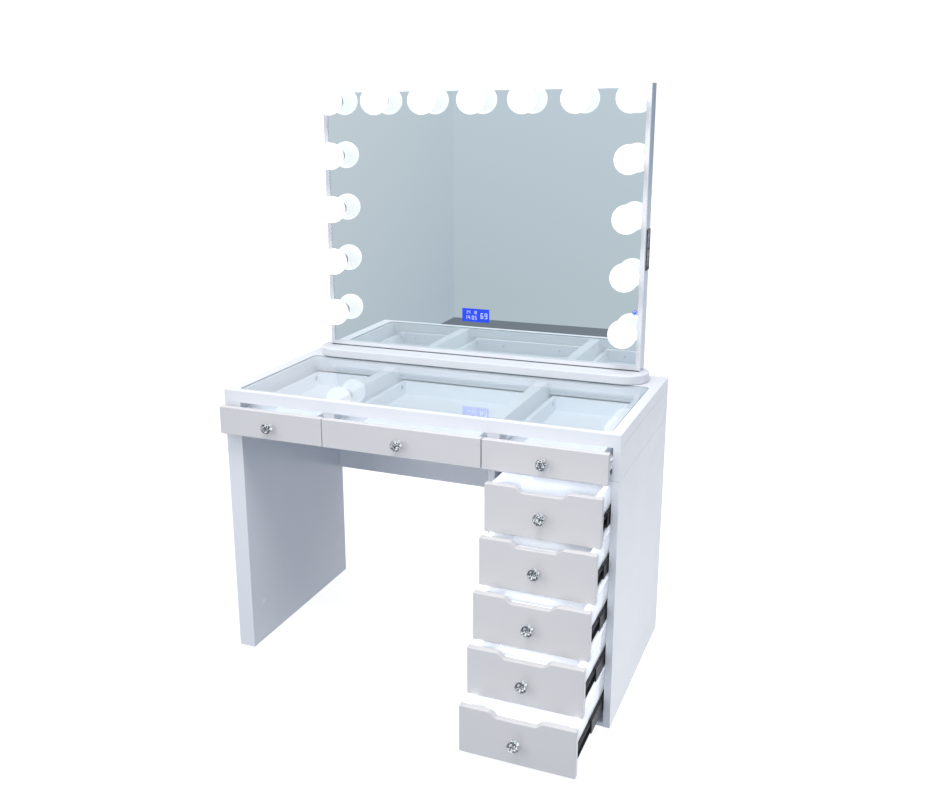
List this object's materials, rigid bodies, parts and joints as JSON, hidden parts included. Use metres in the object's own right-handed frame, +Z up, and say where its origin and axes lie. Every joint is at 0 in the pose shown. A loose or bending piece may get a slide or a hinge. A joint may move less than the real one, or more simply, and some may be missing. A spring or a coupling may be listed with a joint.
{
  "type": "salon styling station",
  "caption": "White dressing desk with a glazed top, shallow top drawers, a drawer pedestal on ball slides and a globe-lit mirror with clock, dimmer and socket strip on an oval-ended foot.",
  "frame": {"origin": "bottom centre of the whole object's bounding box, drawers open as at rest and lowest knob included", "axes": "+Z up, -Y towards the sitter, +X to the sitter's right where the drawer pedestal is"},
  "size_m": [1.12, 0.8578, 1.6018],
  "materials": {
    "lacquer": "white satin lacquer on fibreboard",
    "lacquer_inside": "white melamine faced board",
    "clear_glass": "clear toughened glass, polished edge",
    "crystal": "cut glass on a chromed foot",
    "slide_steel": "black coated steel",
    "runner_white": "white epoxy powder on steel",
    "mirror": "silvered float glass",
    "silver_paint": "satin silver",
    "socket_black": "black plastic",
    "display_blue": "backlit blue window",
    "lamp_white": "lit opal globe on a white holder"
  },
  "bodies": {
    "desk": {"left_leg": "lacquer", "pedestal_side_outer": "lacquer", "pedestal_side_inner": "lacquer", "pedestal_top": "lacquer", "pedestal_bottom": "lacquer", "back_board": "lacquer", "top_case": "lacquer", "top_frame": "lacquer", "bay_divider_left": "lacquer", "bay_divider_right": "lacquer", "mirror_base": "lacquer", "mirror_frame": "lacquer", "glass_top": "clear_glass", "mirror_glass": "mirror", "mirror_housing": "silver_paint", "lamps_top": "lamp_white", "lamps_left": "lamp_white", "lamps_right": "lamp_white", "outlet_module": "socket_black", "touch_dimmer": "display_blue", "clock_display": "display_blue", "slide_rack_left": "slide_steel", "slide_rack_right": "slide_steel", "bay_slides_left": "runner_white", "bay_slides_middle": "runner_white", "bay_slides_right": "runner_white"},
    "top_drawer_left": {"top_drawer_left_front": "lacquer", "top_drawer_left_box": "lacquer_inside", "top_drawer_left_knob": "crystal"},
    "top_drawer_middle": {"top_drawer_middle_front": "lacquer", "top_drawer_middle_box": "lacquer_inside", "top_drawer_middle_knob": "crystal"},
    "top_drawer_right": {"top_drawer_right_front": "lacquer", "top_drawer_right_box": "lacquer_inside", "top_drawer_right_knob": "crystal"},
    "drawer_1": {"drawer_1_front": "lacquer", "drawer_1_box": "lacquer_inside", "drawer_1_knob": "crystal"},
    "slide_1_left": {"slide_1_left": "slide_steel"},
    "slide_1_right": {"slide_1_right": "slide_steel"},
    "drawer_2": {"drawer_2_front": "lacquer", "drawer_2_box": "lacquer_inside", "drawer_2_knob": "crystal"},
    "slide_2_left": {"slide_2_left": "slide_steel"},
    "slide_2_right": {"slide_2_right": "slide_steel"},
    "drawer_3": {"drawer_3_front": "lacquer", "drawer_3_box": "lacquer_inside", "drawer_3_knob": "crystal"},
    "slide_3_left": {"slide_3_left": "slide_steel"},
    "slide_3_right": {"slide_3_right": "slide_steel"},
    "drawer_4": {"drawer_4_front": "lacquer", "drawer_4_box": "lacquer_inside", "drawer_4_knob": "crystal"},
    "slide_4_left": {"slide_4_left": "slide_steel"},
    "slide_4_right": {"slide_4_right": "slide_steel"},
    "drawer_5": {"drawer_5_front": "lacquer", "drawer_5_box": "lacquer_inside", "drawer_5_knob": "crystal"},
    "slide_5_left": {"slide_5_left": "slide_steel"},
    "slide_5_right": {"slide_5_right": "slide_steel"}
  },
  "joints": [
    {"name": "top_drawer_left_slide", "type": "slide", "parent": "desk", "child": "top_drawer_left", "axis": [0, -1, 0], "range_m": [-0.014, 0.246]},
    {"name": "top_drawer_middle_slide", "type": "slide", "parent": "desk", "child": "top_drawer_middle", "axis": [0, -1, 0], "range_m": [-0.014, 0.246]},
    {"name": "top_drawer_right_slide", "type": "slide", "parent": "desk", "child": "top_drawer_right", "axis": [0, -1, 0], "range_m": [-0.014, 0.246]},
    {"name": "drawer_1_slide", "type": "slide", "parent": "desk", "child": "drawer_1", "axis": [0, -1, 0], "range_m": [-0.0807, 0.3593]},
    {"name": "slide_1_left_run", "type": "slide", "parent": "desk", "child": "slide_1_left", "axis": [0, -1, 0], "range_m": [-0.04085, 0.18015]},
    {"name": "slide_1_right_run", "type": "slide", "parent": "desk", "child": "slide_1_right", "axis": [0, -1, 0], "range_m": [-0.04085, 0.18015]},
    {"name": "drawer_2_slide", "type": "slide", "parent": "desk", "child": "drawer_2", "axis": [0, -1, 0], "range_m": [-0.1167, 0.3233]},
    {"name": "slide_2_left_run", "type": "slide", "parent": "desk", "child": "slide_2_left", "axis": [0, -1, 0], "range_m": [-0.05885, 0.16215]},
    {"name": "slide_2_right_run", "type": "slide", "parent": "desk", "child": "slide_2_right", "axis": [0, -1, 0], "range_m": [-0.05885, 0.16215]},
    {"name": "drawer_3_slide", "type": "slide", "parent": "desk", "child": "drawer_3", "axis": [0, -1, 0], "range_m": [-0.1583, 0.2817]},
    {"name": "slide_3_left_run", "type": "slide", "parent": "desk", "child": "slide_3_left", "axis": [0, -1, 0], "range_m": [-0.07965, 0.14135]},
    {"name": "slide_3_right_run", "type": "slide", "parent": "desk", "child": "slide_3_right", "axis": [0, -1, 0], "range_m": [-0.07965, 0.14135]},
    {"name": "drawer_4_slide", "type": "slide", "parent": "desk", "child": "drawer_4", "axis": [0, -1, 0], "range_m": [-0.1976, 0.2424]},
    {"name": "slide_4_left_run", "type": "slide", "parent": "desk", "child": "slide_4_left", "axis": [0, -1, 0], "range_m": [-0.0993, 0.1217]},
    {"name": "slide_4_right_run", "type": "slide", "parent": "desk", "child": "slide_4_right", "axis": [0, -1, 0], "range_m": [-0.0993, 0.1217]},
    {"name": "drawer_5_slide", "type": "slide", "parent": "desk", "child": "drawer_5", "axis": [0, -1, 0], "range_m": [-0.2525, 0.1875]},
    {"name": "slide_5_left_run", "type": "slide", "parent": "desk", "child": "slide_5_left", "axis": [0, -1, 0], "range_m": [-0.12675, 0.09425]},
    {"name": "slide_5_right_run", "type": "slide", "parent": "desk", "child": "slide_5_right", "axis": [0, -1, 0], "range_m": [-0.12675, 0.09425]}
  ],
  "couplings": [
    {"joint": "slide_1_left_run", "follows": "drawer_1_slide", "ratio": 0.5},
    {"joint": "slide_1_right_run", "follows": "drawer_1_slide", "ratio": 0.5},
    {"joint": "slide_2_left_run", "follows": "drawer_2_slide", "ratio": 0.5},
    {"joint": "slide_2_right_run", "follows": "drawer_2_slide", "ratio": 0.5},
    {"joint": "slide_3_left_run", "follows": "drawer_3_slide", "ratio": 0.5},
    {"joint": "slide_3_right_run", "follows": "drawer_3_slide", "ratio": 0.5},
    {"joint": "slide_4_left_run", "follows": "drawer_4_slide", "ratio": 0.5},
    {"joint": "slide_4_right_run", "follows": "drawer_4_slide", "ratio": 0.5},
    {"joint": "slide_5_left_run", "follows": "drawer_5_slide", "ratio": 0.5},
    {"joint": "slide_5_right_run", "follows": "drawer_5_slide", "ratio": 0.5}
  ]
}
